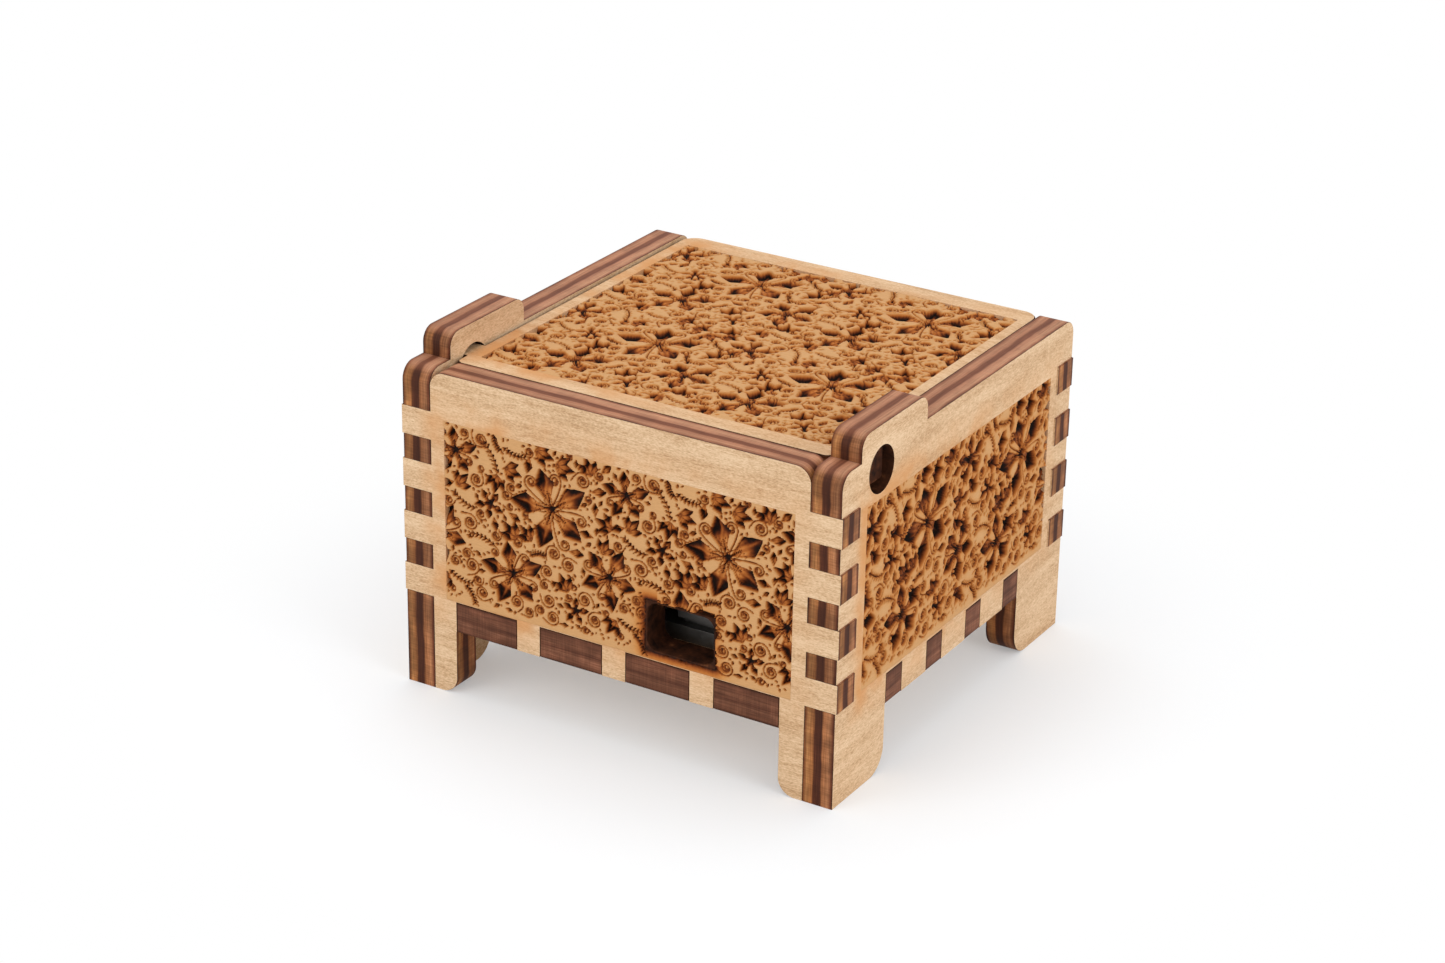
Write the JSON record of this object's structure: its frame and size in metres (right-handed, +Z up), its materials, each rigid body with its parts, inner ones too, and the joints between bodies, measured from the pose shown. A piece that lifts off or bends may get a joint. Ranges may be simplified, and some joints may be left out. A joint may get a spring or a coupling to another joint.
{
  "type": "music box",
  "caption": "Finger-jointed plywood music box on feet with a pivoting lid, a window in the hinge wall, and a wind-up comb movement with winding key, pinned cylinder and air-brake governor.",
  "frame": {"origin": "on the standing surface under the middle of the case", "axes": "+X along the hinge, +Y from the hinge wall to the front wall, +Z up"},
  "size_m": [0.0604, 0.058, 0.0452],
  "materials": {
    "plywood": "bare laser-cut plywood with burnt edges and engraving",
    "nickel_plate": "satin nickel plate",
    "steel": "brushed",
    "brass": "turned",
    "dark_plastic": "moulded"
  },
  "bodies": {
    "case": {"hinge_wall": "plywood", "front_wall": "plywood", "left_wall": "plywood", "right_wall": "plywood", "base_panel": "plywood", "bedplate": "nickel_plate", "mounting_screws": "steel", "comb_block": "nickel_plate", "comb": "steel", "comb_screws": "steel", "left_bearing": "nickel_plate", "right_bearing": "nickel_plate", "bridge_pillars": "brass", "barrel_bridge": "nickel_plate", "bridge_screws": "steel", "click": "steel", "click_screw": "steel", "governor_frame": "nickel_plate", "governor_screw": "steel", "stop_spring": "steel"},
    "lid": {"lid": "plywood"},
    "winder": {"winding_arbor": "steel", "ratchet_wheel": "steel", "winding_key": "steel"},
    "barrel": {"spring_barrel": "nickel_plate", "barrel_cover": "nickel_plate", "mainspring": "steel"},
    "cylinder": {"pinned_cylinder": "brass", "cylinder_shaft": "steel", "cylinder_pinion": "brass", "cylinder_wheel": "brass"},
    "governor_wheel": {"governor_arbor": "steel", "worm_wheel": "brass"},
    "governor_fan": {"worm_shaft": "steel", "fan": "dark_plastic"},
    "stop": {"stop_rod": "steel"}
  },
  "joints": [
    {"name": "lid_hinge", "type": "hinge", "parent": "case", "child": "lid", "pos_m": [0, -0.02, 0.03965], "axis": [1, 0, 0], "range_deg": [0, 130]},
    {"name": "key_wind", "type": "hinge", "parent": "case", "child": "winder", "pos_m": [-0.012, 0.00515, 0.02], "axis": [0, 0, 1], "continuous": true},
    {"name": "barrel_turn", "type": "hinge", "parent": "case", "child": "barrel", "pos_m": [-0.012, 0.00515, 0.02], "axis": [0, 0, 1], "continuous": true},
    {"name": "cylinder_turn", "type": "hinge", "parent": "case", "child": "cylinder", "pos_m": [0.014, 0.00515, 0.021], "axis": [1, 0, 0], "continuous": true},
    {"name": "governor_wheel_turn", "type": "hinge", "parent": "case", "child": "governor_wheel", "pos_m": [0.0077, 0.0152, 0.021], "axis": [1, 0, 0], "continuous": true},
    {"name": "fan_turn", "type": "hinge", "parent": "case", "child": "governor_fan", "pos_m": [0.0077, 0.02025, 0.024], "axis": [0, 0, 1], "continuous": true},
    {"name": "stop_slide", "type": "slide", "parent": "case", "child": "stop", "axis": [0, 0, 1], "range_m": [0, 0.002]}
  ],
  "couplings": [
    {"joint": "cylinder_turn", "follows": "barrel_turn", "ratio": 2.8},
    {"joint": "governor_wheel_turn", "follows": "barrel_turn", "ratio": -11.2},
    {"joint": "fan_turn", "follows": "barrel_turn", "ratio": 190.4},
    {"joint": "stop_slide", "follows": "lid_hinge", "m_per_rad": 0.00088}
  ]
}
